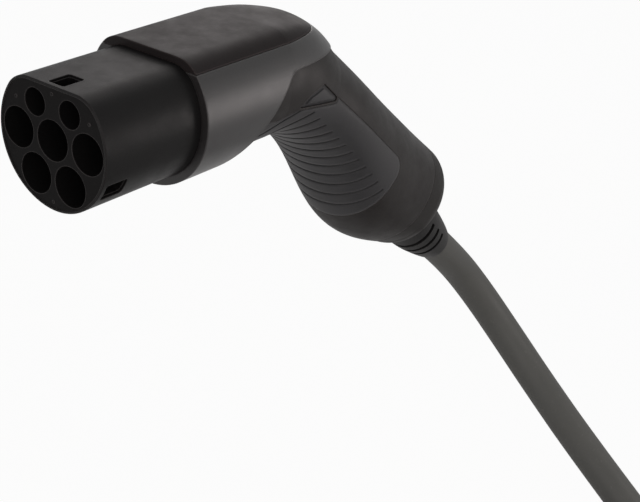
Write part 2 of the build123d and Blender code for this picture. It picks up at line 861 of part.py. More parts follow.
def coil_ties():
    """The bands round the coil."""
    inner = coil_inner_turn - cable_radius
    outer = coil_outer_turn + cable_radius
    ties = []
    for angle in tie_angles:
        middle = ((inner + outer) / 2, floor_height + (coil_top - floor_height) / 2 + tie_thickness / 2)
        width, height = outer - inner, coil_top - floor_height - tie_thickness
        band = RectangleRounded(width + 2 * tie_thickness, height + 2 * tie_thickness, cable_radius)
        band -= RectangleRounded(width, height, cable_radius - tie_thickness)
        loop = extrude(Plane.XZ * Pos(*middle) * band, tie_width / 2, both=True)
        ties.append(Pos(*coil_centre, 0) * Rot(0, 0, angle) * loop)
    return ties


def end_core_places():
    """Where each stripped core leaves the cable's free end, with its radius."""
    x = coil_centre[0] + coil_outer_turn
    y = coil_centre[1] - tail_length
    for core_y, core_z, (_, _, core_radius) in CONTACTS.values():
        dx, dz = core_y * core_cable_scale, core_z * core_cable_scale
        yield Vector(x + dx, y, floor_height + cable_radius + dz), core_radius


def end_cores():
    """The stripped cores at the cable's free end."""
    cores = []
    for place, core_radius in end_core_places():
        cores.append(extrude(Plane(origin=place, z_dir=(0, -1, 0)) * Circle(core_radius), end_core_length))
    return cores


def end_ferrules():
    """The ferrules on the stripped cores."""
    ferrules = []
    for place, core_radius in end_core_places():
        start = place - Vector(0, end_core_length - ferrule_length / 2, 0)
        face = Circle(core_radius + ferrule_wall)
        sleeve = extrude(Plane(origin=start, z_dir=(0, -1, 0)) * face, ferrule_length)
        inside = extrude(Plane(origin=start, z_dir=(0, -1, 0)) * Circle(core_radius), ferrule_length / 2)
        ferrules.append(sleeve - inside)
    return ferrules


# ---- all the pieces -------------------------------------------------------------------------------

def group(shapes):
    """Several solids as one sub-part."""
    return Compound(children=list(shapes))


def main():
    export("nose_shell", nose_shell())
    export("nose_seal", nose_seal())
    export("contact_carrier", contact_carrier())
    export("contact_base", contact_base())
    export("contact_retainer", contact_retainer())
    export("retainer_screws", group(retainer_screws()))
    export("coding_resistor", coding_resistor())
    for name, (y, z, (pin_radius, _, core_radius)) in CONTACTS.items():
        export(f"{name}_pin", contact_pin(y, z, pin_radius, core_radius))
        export(f"{name}_tip", pin_tip(y, z, pin_radius))
        export(f"{name}_wire", core_wire(y, z, core_radius))

    room = cavity()
    core = core_form(core_start)
    floor = core_form(core_start, inlay_thickness)
    panel_floor = core_form(core_start, panel_pocket_depth)
    export("housing_body", housing_body(room, core, floor, panel_floor))
    export("hood_cover", hood_cover(room))
    export("grip_inlay", grip_inlay(core, floor))
    export("cheek_panel", cheek_panel(core, panel_floor, core_form(core_start, panel_step_depth)))
    export("end_cap", end_cap(core))

    export("cable_boot", cable_boot())
    export("cable_seal", cable_seal())
    export("cable_clamp", cable_clamp())
    export("clamp_screws", group(clamp_screws()))
    export("cable_entry", handle_rod(cable_inside_start, boot_tip, cable_radius, cable_height))
    run, tail, ties = cable_run(), cable_tail(), coil_ties()
    export("cable_run", run)
    export("cable_tail", tail)
    export("coil_ties", group(ties))
    export("cable_coil", cable_coil(run, tail, ties))
    export("end_cores", group(end_cores()))
    export("end_ferrules", group(end_ferrules()))


main()
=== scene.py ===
"""Charging plug with an angled handle: its cable, finishes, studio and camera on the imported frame."""
import math

import bpy
from bpy.props import FloatProperty, FloatVectorProperty, IntProperty, PointerProperty
from mathutils import Euler, Matrix, Vector


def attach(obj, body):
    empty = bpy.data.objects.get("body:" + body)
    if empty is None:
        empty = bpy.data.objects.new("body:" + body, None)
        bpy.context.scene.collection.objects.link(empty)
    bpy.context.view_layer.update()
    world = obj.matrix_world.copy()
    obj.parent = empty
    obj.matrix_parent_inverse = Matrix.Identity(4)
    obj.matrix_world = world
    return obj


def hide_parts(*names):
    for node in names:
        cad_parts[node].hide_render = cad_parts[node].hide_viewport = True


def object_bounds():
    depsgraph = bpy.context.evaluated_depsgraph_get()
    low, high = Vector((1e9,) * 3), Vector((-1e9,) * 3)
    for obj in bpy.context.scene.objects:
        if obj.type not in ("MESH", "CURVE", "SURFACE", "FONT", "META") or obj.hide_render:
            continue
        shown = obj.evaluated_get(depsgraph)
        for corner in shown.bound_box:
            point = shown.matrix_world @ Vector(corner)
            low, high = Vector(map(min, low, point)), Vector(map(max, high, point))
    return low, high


bl_info = {
    "name": "Charging Plug",
    "version": (1, 0, 0),
    "blender": (4, 5, 0),
    "location": "3D View > Sidebar > Charging Plug",
    "description": "Cable, finishes and studio for a charging plug with an angled handle",
    "category": "Object",
}

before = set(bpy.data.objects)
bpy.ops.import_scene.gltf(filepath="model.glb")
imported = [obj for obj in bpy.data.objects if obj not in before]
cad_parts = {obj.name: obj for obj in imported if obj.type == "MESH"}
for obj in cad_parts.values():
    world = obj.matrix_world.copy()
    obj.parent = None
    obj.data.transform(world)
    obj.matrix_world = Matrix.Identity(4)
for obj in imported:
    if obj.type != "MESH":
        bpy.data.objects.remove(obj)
CAD_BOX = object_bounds()
MM = 0.001


def linear(hex_colour):
    """An sRGB hex colour as linear red, green and blue."""
    channels = [int(hex_colour[i:i + 2], 16) / 255 for i in (1, 3, 5)]
    return [c / 12.92 if c <= 0.04045 else ((c + 0.055) / 1.055) ** 2.4 for c in channels]


def colour_setting(name, hex_colour, description):
    """A colour that the user can change."""
    return FloatVectorProperty(
        name=name,
        description=description,
        default=linear(hex_colour),
        size=3,
        min=0.0,
        max=1.0,
        subtype="COLOR",
    )


def length_setting(name, millimetres, description):
    """A length that the user can change, given in millimetres and kept in metres."""
    return FloatProperty(
        name=name,
        description=description,
        default=millimetres * MM,
        min=0.0,
        unit="LENGTH",
        subtype="DISTANCE",
    )


def power_setting(name, watts, description):
    """A lamp's power that the user can change."""
    return FloatProperty(name=name, description=description, default=watts, min=0.0, unit="POWER")


# ---- settings -------------------------------------------------------------------------------------

class CameraSettings(bpy.types.PropertyGroup):
    """Where the camera stands and what it looks at."""

    azimuth: FloatProperty(
        name="Azimuth",
        description="Direction the camera stands in, about the vertical",
        default=math.radians(-53.68),
        subtype="ANGLE",
        unit="ROTATION",
    )
    elevation: FloatProperty(
        name="Elevation",
        description="How high the camera stands above the horizon",
        default=math.radians(26.81),
        subtype="ANGLE",
        unit="ROTATION",
    )
    roll: FloatProperty(
        name="Roll",
        description="Turn of the camera about its own line of sight",
        default=math.radians(4.17),
        subtype="ANGLE",
        unit="ROTATION",
    )
    aim_point: FloatVectorProperty(
        name="Aim point",
        description="The point that the camera looks at",
        default=(149.49 * MM, 0.0, -93.38 * MM),
        subtype="TRANSLATION",
        unit="LENGTH",
    )
    distance: length_setting("Distance", 627.6, "From the camera to its aim point")
    lens: FloatProperty(
        name="Lens",
        description="Focal length on a sensor 36 mm wide",
        default=83.66,
        min=1.0,
        unit="CAMERA",
    )


class StudioSettings(bpy.types.PropertyGroup):
    """The floor, the world and the lamps."""

    floor_colour: colour_setting("Floor", "#D4D4D4", "Painted floor")
    floor_size: length_setting("Floor size", 6000.0, "Width of the floor")
    ambient: FloatProperty(
        name="Ambient",
        description="Strength of the light from all round",
        default=0.42,
        min=0.0,
    )
    lamp_colour: colour_setting("Lamp colour", "#FFF6F4", "Colour of the soft lamps")
    key_power: power_setting("Key power", 1.5, "Large soft lamp above and behind the plug")
    back_power: power_setting("Back power", 0.7, "Low lamp behind the plug")
    fill_power: power_setting("Fill power", 2.3, "Soft lamp on the camera's side")
    front_power: power_setting("Front power", 1.2, "Soft lamp ahead of the nose")
    side_power: power_setting("Side power", 0.3, "Small lamp close beside the hood")


class CableSettings(bpy.types.PropertyGroup):
    """The cable, from the boot to its put-away coil and its free end."""

    diameter: length_setting("Diameter", 16.4, "Outer diameter of the jacket")
    coil_inner_turn: length_setting("Inner turn", 65.4, "Radius of the coil's innermost turn")
    columns: IntProperty(
        name="Columns",
        description="Turns side by side in each layer of the coil",
        default=4,
        min=2,
    )
    points_per_turn: IntProperty(
        name="Points per turn",
        description="Control points in each turn of the coil",
        default=16,
        min=12,
    )
    real_length: length_setting("Length", 4400.0, "Length of the whole cable outside the handle")
    jacket_colour: colour_setting("Jacket", "#565653", "Polyurethane jacket")


class FinishSettings(bpy.types.PropertyGroup):
    """The colours of the plug's own materials."""

    nose: colour_setting("Nose", "#161515", "Moulded nose shell")
    carrier: colour_setting("Contact carrier", "#131212", "Insulating block round the contacts")
    hood: colour_setting("Hood", "#231F1F", "Moulded hood cover")
    housing: colour_setting("Housing", "#262322", "Moulded handle")
    # Darker than the handle: painted shade on the hood's part of the housing.
    shaded_hood_side: colour_setting("Hood side", "#1F1D1D", "The housing's own part of the hood")
    cap: colour_setting("End cap", "#292726", "Moulded end cap")
    inlay: colour_setting("Grip inlay", "#242325", "Soft grip inlay")
    rubber: colour_setting("Rubber", "#0D0C0C", "Boot and seals")
    pin: colour_setting("Contact pins", "#D9D5CB", "Silver plating")
    steel: colour_setting("Screws", "#B9BCC0", "Zinc-plated steel")
    tie: colour_setting("Ties", "#1F2023", "Hook-and-loop bands")
    ceramic: colour_setting("Resistor", "#B8A98C", "Resistor body")


CORE_COLOURS = {
    "pe": "#6E8F2C",
    "n": "#2B57A6",
    "l1": "#5B3A22",
    "l2": "#1C1C1D",
    "l3": "#7C7E80",
    "cp": "#E4E2DC",
    "pp": "#262627",
}
END_CORE_COLOUR = "#8B8D8C"
FERRULE_COLOUR = "#C9C9C6"
TIP_COLOUR = "#262525"
CLAMP_COLOUR = "#2C2C2D"


# ---- materials ------------------------------------------------------------------------------------

def add_node(tree, kind, inputs=None, **settings):
    """Add a node, set it, and give each named input its value or its link."""
    node = tree.nodes.new(kind)
    for name, value in settings.items():
        setattr(node, name, value)
    for name, value in (inputs or {}).items():
        socket = node.inputs[name]
        if isinstance(value, bpy.types.NodeSocket):
            tree.links.new(value, socket)
        elif socket.type == "RGBA":
            socket.default_value = (*value[:3], 1.0)
        else:
            socket.default_value = value
    return node


def empty_material(name):
    """A material with an empty node tree."""
    material = bpy.data.materials.new(name)
    material.use_nodes = True
    material.node_tree.nodes.clear()
    return material


def per_metre(millimetres):
    """The scale of a pattern whose features are this far apart."""
    return 1 / (millimetres * MM)


def shade(colour, factor):
    """A colour made lighter or darker by a factor."""
    return [min(c * factor, 1.0) for c in colour]


# The hood's rear edge on the housing: its place along the handle, the height of its shoulder, and
# half the width over which the two finishes run into each other, in millimetres.
HOOD_END = 63.5
SHOULDER_HEIGHT = 8.8
FINISH_BLEND = 0.8
ALONG_HANDLE = (0.766, 0.0, -0.643)


def hood_zone(tree, place):
    """1 on the housing's own part of the hood, 0 on the handle behind its shoulder."""
    along = add_node(tree, "ShaderNodeVectorMath", {0: place, 1: ALONG_HANDLE}, operation="DOT_PRODUCT")
    before = add_node(
        tree,
        "ShaderNodeMapRange",
        {
            "Value": along.outputs["Value"],
            "From Min": (HOOD_END + FINISH_BLEND) * MM,
            "From Max": (HOOD_END - FINISH_BLEND) * MM,
            "To Min": 0.0,
            "To Max": 1.0,
        },
    )
    split = add_node(tree, "ShaderNodeSeparateXYZ", {"Vector": place})
    above = add_node(
        tree,
        "ShaderNodeMapRange",
        {
            "Value": split.outputs["Z"],
            "From Min": (SHOULDER_HEIGHT - FINISH_BLEND) * MM,
            "From Max": (SHOULDER_HEIGHT + FINISH_BLEND) * MM,
            "To Min": 0.0,
            "To Max": 1.0,
        },
    )
    either = add_node(
        tree,
        "ShaderNodeMath",
        {0: before.outputs["Result"], 1: above.outputs["Result"]},
        operation="MAXIMUM",
    )
    return either.outputs["Value"]


def moulded_plastic(
    name,
    colour,
    grain=0.7,
    depth=0.03,
    rough=(0.36, 0.5),
    gloss=0.4,
    edge=0.4,
    edge_wear_and_highlight=1.6,
    front=None,
):
    """Hard plastic such as glass-filled PBT, injection moulded in a spark-eroded tool.

    The eye sees a fine even grain that breaks up reflections, slow drifts in tone where the melt
    flowed, and paler edges, by the share edge_wear_and_highlight, partly rubbed by handling and partly
    a painted highlight. Where front gives a colour, the housing's own part of the hood has that colour,
    darker as painted shade, and a coat that adds gloss. A lacquered resistor looks alike and uses it too.
    """
    material = empty_material(name)
    tree = material.node_tree
    place = add_node(tree, "ShaderNodeTexCoord").outputs["Object"]
    drift = add_node(
        tree,
        "ShaderNodeTexNoise",
        {"Vector": place, "Scale": per_metre(34), "Detail": 3.0, "Roughness": 0.55},
    )
    # The real grain is about 0.1 mm, too fine to show, so it is drawn coarser.
    grains = add_node(
        tree,
        "ShaderNodeTexNoise",
        {"Vector": place, "Scale": per_metre(grain), "Detail": 4.0, "Roughness": 0.7},
    )
    smudge = add_node(
        tree,
        "ShaderNodeTexNoise",
        {"Vector": place, "Scale": per_metre(9), "Detail": 5.0, "Roughness": 0.65},
    )
    rounding = add_node(tree, "ShaderNodeBevel", {"Radius": edge * MM}, samples=6)
    flat = add_node(tree, "ShaderNodeNewGeometry").outputs["Normal"]
    alike = add_node(
        tree,
        "ShaderNodeVectorMath",
        {0: rounding.outputs["Normal"], 1: flat},
        operation="DOT_PRODUCT",
    )
    # Paler edges: partly rubbed by handling, partly a painted highlight along edges and rims.
    worn_and_highlit_edges = add_node(
        tree,
        "ShaderNodeMapRange",
        {
            "Value": alike.outputs["Value"],
            "From Min": 0.995,
            "From Max": 0.86,
            "To Min": 0.0,
            "To Max": 1.0,
        },
    )
    base, zone = colour, None
    # The hood's own part of the housing: a darker colour as painted shade, and a coat for more gloss.
    if front is not None:
        zone = hood_zone(tree, place)
        mixed = add_node(tree, "ShaderNodeMix", {6: colour, 7: front, "Factor": zone}, data_type="RGBA")
        base = mixed.outputs[2]
    tone = add_node(
        tree,
        "ShaderNodeMapRange",
        {"Value": drift.outputs["Fac"], "From Min": 0.3, "From Max": 0.7, "To Min": 0.88, "To Max": 1.1},
    )
    speckle = add_node(
        tree,
        "ShaderNodeMapRange",
        {
            "Value": grains.outputs["Fac"],
            "From Min": 0.3,
            "From Max": 0.7,
            "To Min": 0.88,
            "To Max": 1.14,
        },
    )
    # Scale for the edges' painted highlight and their real rubbing.
    rubbed_and_highlit = add_node(
        tree,
        "ShaderNodeMath",
        {0: worn_and_highlit_edges.outputs["Result"], 1: edge_wear_and_highlight, 2: 1.0},
        operation="MULTIPLY_ADD",
    )
    shaded = add_node(
        tree,
        "ShaderNodeMath",
        {0: tone.outputs["Result"], 1: speckle.outputs["Result"]},
        operation="MULTIPLY",
    )
    level = add_node(
        tree,
        "ShaderNodeMath",
        {0: shaded.outputs["Value"], 1: rubbed_and_highlit.outputs["Value"]},
        operation="MULTIPLY",
    )
    coloured = add_node(
        tree,
        "ShaderNodeVectorMath",
        {0: base, "Scale": level.outputs["Value"]},
        operation="SCALE",
    )
    roughness = add_node(
        tree,
        "ShaderNodeMapRange",
        {
            "Value": smudge.outputs["Fac"],
            "From Min": 0.3,
            "From Max": 0.7,
            "To Min": rough[0],
            "To Max": rough[1],
        },
    )
    relief = add_node(
        tree,
        "ShaderNodeBump",
        {
            "Height": grains.outputs["Fac"],
            "Strength": 1.0,
            "Distance": depth * MM,
            "Normal": rounding.outputs["Normal"],
        },
    )
    shader = add_node(
        tree,
        "ShaderNodeBsdfPrincipled",
        {
            "Base Color": coloured.outputs["Vector"],
            "Roughness": roughness.outputs["Result"],
            "IOR": 1.53,
            "Specular IOR Level": gloss,
            "Coat Roughness": 0.4,
            "Coat IOR": 1.5,
            "Normal": relief.outputs["Normal"],
            "Coat Normal": relief.outputs["Normal"],
        },
    )
    if zone is not None:
        tree.links.new(zone, shader.inputs["Coat Weight"])
    add_node(tree, "ShaderNodeOutputMaterial", {"Surface": shader.outputs["BSDF"]})
    return material


def moulded_rubber(
    name,
    colour,
    grain=0.6,
    depth=0.03,
    rough=(0.5, 0.68),
    gloss=0.35,
    bloom=1.3,
    edge=0.3,
):
    """Thermoplastic rubber, moulded: softer light than hard plastic and a faint dusty bloom.

    The eye sees a matt surface, dust held in its grain and greyer patches where hands have rubbed it.
    """
    material = empty_material(name)
    tree = material.node_tree
    place = add_node(tree, "ShaderNodeTexCoord").outputs["Object"]
    patches = add_node(
        tree,
        "ShaderNodeTexNoise",
        {"Vector": place, "Scale": per_metre(24), "Detail": 4.0, "Roughness": 0.6},
    )
    # Mould grain and dust of about 0.1 mm, drawn coarser so that it shows.
    grains = add_node(
        tree,
        "ShaderNodeTexNoise",
        {"Vector": place, "Scale": per_metre(grain), "Detail": 3.0, "Roughness": 0.65},
    )
    dusted = add_node(
        tree,
        "ShaderNodeMapRange",
        {
            "Value": patches.outputs["Fac"],
            "From Min": 0.42,
            "From Max": 0.72,
            "To Min": 0.0,
            "To Max": 1.0,
        },
    )
    toned = add_node(
        tree,
        "ShaderNodeMix",
        {6: shade(colour, 0.92), 7: shade(colour, bloom), "Factor": dusted.outputs["Result"]},
        data_type="RGBA",
    )
    speckle = add_node(
        tree,
        "ShaderNodeMapRange",
        {
            "Value": grains.outputs["Fac"],
            "From Min": 0.55,
            "From Max": 0.8,
            "To Min": 0.0,
            "To Max": 0.5,
        },
    )
    coloured = add_node(
        tree,
        "ShaderNodeMix",
        {6: toned.outputs[2], 7: shade(colour, bloom * 1.6), "Factor": speckle.outputs["Result"]},
        data_type="RGBA",
    )
    roughness = add_node(
        tree,
        "ShaderNodeMapRange",
        {
            "Value": patches.outputs["Fac"],
            "From Min": 0.3,
            "From Max": 0.7,
            "To Min": rough[0],
            "To Max": rough[1],
        },
    )
    rounding = add_node(tree, "ShaderNodeBevel", {"Radius": edge * MM}, samples=6)
    relief = add_node(
        tree,
        "ShaderNodeBump",
        {
            "Height": grains.outputs["Fac"],
            "Strength": 1.0,
            "Distance": depth * MM,
            "Normal": rounding.outputs["Normal"],
        },
    )
    shader = add_node(
        tree,
        "ShaderNodeBsdfPrincipled",
        {
            "Base Color": coloured.outputs[2],
            "Roughness": roughness.outputs["Result"],
            "IOR": 1.5,
            "Specular IOR Level": gloss,
            "Sheen Weight": 0.06,
            "Sheen Roughness": 0.5,
            "Normal": relief.outputs["Normal"],
        },
    )
    add_node(tree, "ShaderNodeOutputMaterial", {"Surface": shader.outputs["BSDF"]})
    return material


def extruded_jacket(name, colour, rough=(0.44, 0.58), gloss=0.45):
    """Polyurethane cable jacket, extruded: a smooth satin skin with faint scuffs.

    The eye sees one soft highlight along it, broken by small drag marks and dull rubbed patches.
    """
    material = empty_material(name)
    tree = material.node_tree
    place = add_node(tree, "ShaderNodeTexCoord").outputs["Object"]
    patches = add_node(
        tree,
        "ShaderNodeTexNoise",
        {"Vector": place, "Scale": per_metre(22), "Detail": 4.0, "Roughness": 0.6},
    )
    skin = add_node(
        tree,
        "ShaderNodeTexNoise",
        {"Vector": place, "Scale": per_metre(1.6), "Detail": 5.0, "Roughness": 0.6},
    )
    scuffs = add_node(
        tree,
        "ShaderNodeMapRange",
        {"Value": skin.outputs["Fac"], "From Min": 0.6, "From Max": 0.78, "To Min": 0.0, "To Max": 0.6},
    )
    toned = add_node(
        tree,
        "ShaderNodeMix",
        {6: shade(colour, 0.88), 7: shade(colour, 1.14), "Factor": patches.outputs["Fac"]},
        data_type="RGBA",
    )
    coloured = add_node(
        tree,
        "ShaderNodeMix",
        {6: toned.outputs[2], 7: shade(colour, 1.5), "Factor": scuffs.outputs["Result"]},
        data_type="RGBA",
    )
    roughness = add_node(
        tree,
        "ShaderNodeMapRange",
        {
            "Value": patches.outputs["Fac"],
            "From Min": 0.3,
            "From Max": 0.7,
            "To Min": rough[0],
            "To Max": rough[1],
        },
    )
    relief = add_node(
        tree,
        "ShaderNodeBump",
        {"Height": skin.outputs["Fac"], "Strength": 1.0, "Distance": 0.04 * MM},
    )
    shader = add_node(
        tree,
        "ShaderNodeBsdfPrincipled",
        {
            "Base Color": coloured.outputs[2],
            "Roughness": roughness.outputs["Result"],
            "IOR": 1.5,
            "Specular IOR Level": gloss,
            "Normal": relief.outputs["Normal"],
        },
    )
    add_node(tree, "ShaderNodeOutputMaterial", {"Surface": shader.outputs["BSDF"]})
    return material


# How far the wave texture's phase goes, in radians, over one unit at a scale of 1.
WAVE_RATE = 20


def turned_metal(name, colour, marks=0.5, rough=(0.2, 0.34)):
    """Metal turned on a lathe and plated: fine rings round its axis and a slight tarnish.

    The eye sees bright metal with rings that stretch its highlights, and darker dull patches. The
    rings lie 2 pi times marks apart, in millimetres.
    """
    material = empty_material(name)
    tree = material.node_tree
    place = add_node(tree, "ShaderNodeTexCoord").outputs["Object"]
    # Tool marks of about 0.1 mm, drawn further apart so that they show.
    rings = add_node(
        tree,
        "ShaderNodeTexWave",
        {"Vector": place, "Scale": per_metre(marks) / WAVE_RATE, "Distortion": 0.4, "Detail": 1.0},
        wave_type="BANDS",
        bands_direction="X",
    )
    tarnish = add_node(
        tree,
        "ShaderNodeTexNoise",
        {"Vector": place, "Scale": per_metre(4), "Detail": 4.0, "Roughness": 0.6},
    )
    coloured = add_node(
        tree,
        "ShaderNodeMix",
        {6: colour, 7: shade(colour, 0.65), "Factor": tarnish.outputs["Fac"]},
        data_type="RGBA",
    )
    roughness = add_node(
        tree,
        "ShaderNodeMapRange",
        {
            "Value": tarnish.outputs["Fac"],
            "From Min": 0.3,
            "From Max": 0.7,
            "To Min": rough[0],
            "To Max": rough[1],
        },
    )
    relief = add_node(
        tree,
        "ShaderNodeBump",
        {"Height": rings.outputs["Fac"], "Strength": 1.0, "Distance": 0.02 * MM},
    )
    shader = add_node(
        tree,
        "ShaderNodeBsdfPrincipled",
        {
            "Base Color": coloured.outputs[2],
            "Metallic": 1.0,
            "Roughness": roughness.outputs["Result"],
            "Normal": relief.outputs["Normal"],
        },
    )
    add_node(tree, "ShaderNodeOutputMaterial", {"Surface": shader.outputs["BSDF"]})
    return material


def extruded_insulation(name, colour):
    """PVC core insulation, extruded: a soft gloss and slightly uneven colour.

    The eye sees a waxy coloured skin with chalk marks from stripping.
    """
    material = empty_material(name)
    tree = material.node_tree
    place = add_node(tree, "ShaderNodeTexCoord").outputs["Object"]
    chalk = add_node(
        tree,
        "ShaderNodeTexNoise",
        {"Vector": place, "Scale": per_metre(3), "Detail": 5.0, "Roughness": 0.65},
    )
    marked = add_node(
        tree,
        "ShaderNodeMapRange",
        {"Value": chalk.outputs["Fac"], "From Min": 0.5, "From Max": 0.8, "To Min": 0.0, "To Max": 0.35},
    )
    coloured = add_node(
        tree,
        "ShaderNodeMix",
        {6: colour, 7: shade(colour, 1.6), "Factor": marked.outputs["Result"]},
        data_type="RGBA",
    )
    roughness = add_node(
        tree,
        "ShaderNodeMapRange",
        {
            "Value": chalk.outputs["Fac"],
            "From Min": 0.3,
            "From Max": 0.7,
            "To Min": 0.32,
            "To Max": 0.48,
        },
    )
    relief = add_node(
        tree,
        "ShaderNodeBump",
        {"Height": chalk.outputs["Fac"], "Strength": 1.0, "Distance": 0.03 * MM},
    )
    shader = add_node(
        tree,
        "ShaderNodeBsdfPrincipled",
        {
            "Base Color": coloured.outputs[2],
            "Roughness": roughness.outputs["Result"],
            "IOR": 1.53,
            "Normal": relief.outputs["Normal"],
        },
    )
    add_node(tree, "ShaderNodeOutputMaterial", {"Surface": shader.outputs["BSDF"]})
    return material


def woven_tie(name, colour):
    """Hook-and-loop band of polyamide, woven: a fuzzy ribbed face.

    The eye sees close ribs across the band and loose loops, with a painted highlight on their tops
    and painted shade between them.
    """
    material = empty_material(name)
    tree = material.node_tree
    place = add_node(tree, "ShaderNodeTexCoord").outputs["Object"]
    # Loops about 0.9 mm apart.
    loops = add_node(
        tree,
        "ShaderNodeTexVoronoi",
        {"Vector": place, "Scale": per_metre(0.9), "Randomness": 0.7},
    )
    fuzz = add_node(
        tree,
        "ShaderNodeTexNoise",
        {"Vector": place, "Scale": per_metre(5), "Detail": 6.0, "Roughness": 0.7},
    )
    # Painted highlight on the loops' raised tops and painted shade between them.
    toned = add_node(
        tree,
        "ShaderNodeMix",
        {6: shade(colour, 2.2), 7: shade(colour, 0.5), "Factor": loops.outputs["Distance"]},
        data_type="RGBA",
    )
    coloured = add_node(
        tree,
        "ShaderNodeMix",
        {6: toned.outputs[2], 7: shade(colour, 1.8), "Factor": fuzz.outputs["Fac"]},
        data_type="RGBA",
    )
    roughness = add_node(
        tree,
        "ShaderNodeMapRange",
        {"Value": fuzz.outputs["Fac"], "From Min": 0.3, "From Max": 0.7, "To Min": 0.75, "To Max": 0.92},
    )
    relief = add_node(
        tree,
        "ShaderNodeBump",
        {"Height": loops.outputs["Distance"], "Strength": 1.0, "Distance": 0.35 * MM},
        invert=True,
    )
    shader = add_node(
        tree,
        "ShaderNodeBsdfPrincipled",
        {
            "Base Color": coloured.outputs[2],
            "Roughness": roughness.outputs["Result"],
            "Sheen Weight": 0.4,
            "Sheen Roughness": 0.6,
            "Normal": relief.outputs["Normal"],
        },
    )
    add_node(tree, "ShaderNodeOutputMaterial", {"Surface": shader.outputs["BSDF"]})
    return material


# How much of the studio's white a reflection shows, and how much of it the floor shows to the camera.
# The floor's rest, a twentieth, is paint, and that is all that takes a shadow.
GLOSSY_WHITE = 0.2
FLOOR_WHITE = 0.95


def painted_floor(name, colour):
    """Matt white studio paint, rolled: faint stipple, and white to the camera.

    The eye sees a pale floor that runs into the background, with only a trace of the plug's shadow.
    """
    material = empty_material(name)
    tree = material.node_tree
    place = add_node(tree, "ShaderNodeTexCoord").outputs["Object"]
    stipple = add_node(
        tree,
        "ShaderNodeTexNoise",
        {"Vector": place, "Scale": per_metre(6), "Detail": 2.0},
    )
    coloured = add_node(
        tree,
        "ShaderNodeMix",
        {6: colour, 7: shade(colour, 1.08), "Factor": stipple.outputs["Fac"]},
        data_type="RGBA",
    )
    paint = add_node(tree, "ShaderNodeBsdfDiffuse", {"Color": coloured.outputs[2]})
    white = add_node(tree, "ShaderNodeEmission", {"Color": (1.0, 1.0, 1.0), "Strength": 1.0})
    ray = add_node(tree, "ShaderNodeLightPath")
    seen = add_node(
        tree,
        "ShaderNodeMath",
        {0: ray.outputs["Is Camera Ray"], 1: ray.outputs["Is Transmission Ray"]},
        operation="MAXIMUM",
    )
    shown = add_node(
        tree,
        "ShaderNodeMath",
        {0: ray.outputs["Is Glossy Ray"], 1: GLOSSY_WHITE, 2: seen.outputs["Value"]},
        operation="MULTIPLY_ADD",
    )
    share = add_node(
        tree,
        "ShaderNodeMath",
        {0: shown.outputs["Value"], 1: FLOOR_WHITE},
        operation="MULTIPLY",
    )
    both = add_node(
        tree,
        "ShaderNodeMixShader",
        {"Fac": share.outputs["Value"], 1: paint.outputs["BSDF"], 2: white.outputs["Emission"]},
    )
    add_node(tree, "ShaderNodeOutputMaterial", {"Surface": both.outputs["Shader"]})
    return material


def dress(material, *nodes):
    """Give CAD nodes a material."""
    for node in nodes:
        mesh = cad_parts[node].data
        mesh.materials.clear()
        mesh.materials.append(material)


# ---- cable ----------------------------------------------------------------------------------------

# Route of the cable from the boot to the coil, in millimetres, as in the part's source.
CABLE_ROUTE = [
    (236.22, 0.0, -118.31),
    (257.67, 0.0, -136.31),
    (272.5, -8.0, -157.0),
    (279.5, -23.5, -178.0),
    (280.0, -45.5, -198.0),
    (273.0, -76.0, -216.0),
    (265.0, -133.0, -251.0),
    (264.6, -170.0, -265.4),
]
COIL_CENTRE = (150.0, -205.0)
TAIL_LENGTH = 90.0
# (angle in degrees at which it starts, columns moved inwards, layers moved down)
COIL_STEPS = [
    (290, 1, 0),
    (650, 1, 0),
    (1010, 1, 0),
    (1305, 0, 1),
    (1600, -1, 0),
    (1880, -1, 0),
    (2160, -1, 0),
]
STEP_ANGLE = 60
COIL_ANGLE = 7 * 360


def stepped(turned, start):
    """How far a step of the coil has gone, from 0 to 1, at the angle turned so far."""
    share = min(max((turned - start) / STEP_ANGLE, 0.0), 1.0)
    return share * share * (3 - 2 * share)


def coil_points(diameter, inner_turn, columns, per_turn, top):
    """The coil's turns: inwards through the top layer, then outwards through the bottom one."""
    points = []
    outer = inner_turn + (columns - 1) * diameter
    swell = 1 / math.cos(math.pi / per_turn)
    for i in range(1, round(COIL_ANGLE / 360 * per_turn)):
        turned = 360 * i / per_turn
        radius = outer - diameter * sum(move * stepped(turned, start) for start, move, _ in COIL_STEPS)
        height = top - diameter * sum(drop * stepped(turned, start) for start, _, drop in COIL_STEPS)
        angle = math.radians(turned)
        x = COIL_CENTRE[0] * MM + radius * swell * math.cos(angle)
        y = COIL_CENTRE[1] * MM - radius * swell * math.sin(angle)
        points.append((x, y, height))
    return points


def cable_curve(settings, material):
    """The cable as one smooth curve, from the boot through the coil to its free end."""
    floor = CAD_BOX[0][2]
    radius = settings.diameter / 2
    low, top = floor + radius, floor + 3 * radius
    outer = settings.coil_inner_turn + (settings.columns - 1) * settings.diameter
    leave_x, leave_y = COIL_CENTRE[0] * MM + outer, COIL_CENTRE[1] * MM
    points = [(x * MM, y * MM, z * MM) for x, y, z in CABLE_ROUTE]
    points.append((leave_x, leave_y, top))
    points += coil_points(
        settings.diameter,
        settings.coil_inner_turn,
        settings.columns,
        settings.points_per_turn,
        top,
    )
    points.append((leave_x, leave_y, low))
    points.append((leave_x, leave_y - TAIL_LENGTH / 2 * MM, low))
    points.append((leave_x, leave_y - TAIL_LENGTH * MM, low))

    curve = bpy.data.curves.new("cable", "CURVE")
    curve.dimensions = "3D"
    curve.resolution_u = 10
    curve.bevel_depth = radius
    curve.bevel_resolution = 7
    curve.use_fill_caps = True
    spline = curve.splines.new("NURBS")
    spline.points.add(len(points) - 1)
    for point, place in zip(spline.points, points):
        point.co = (*place, 1.0)
    spline.order_u = 3
    spline.use_endpoint_u = True
    spline.use_smooth = True
    cable = bpy.data.objects.new("cable", curve)
    bpy.context.scene.collection.objects.link(cable)
    curve.materials.append(material)
    return cable


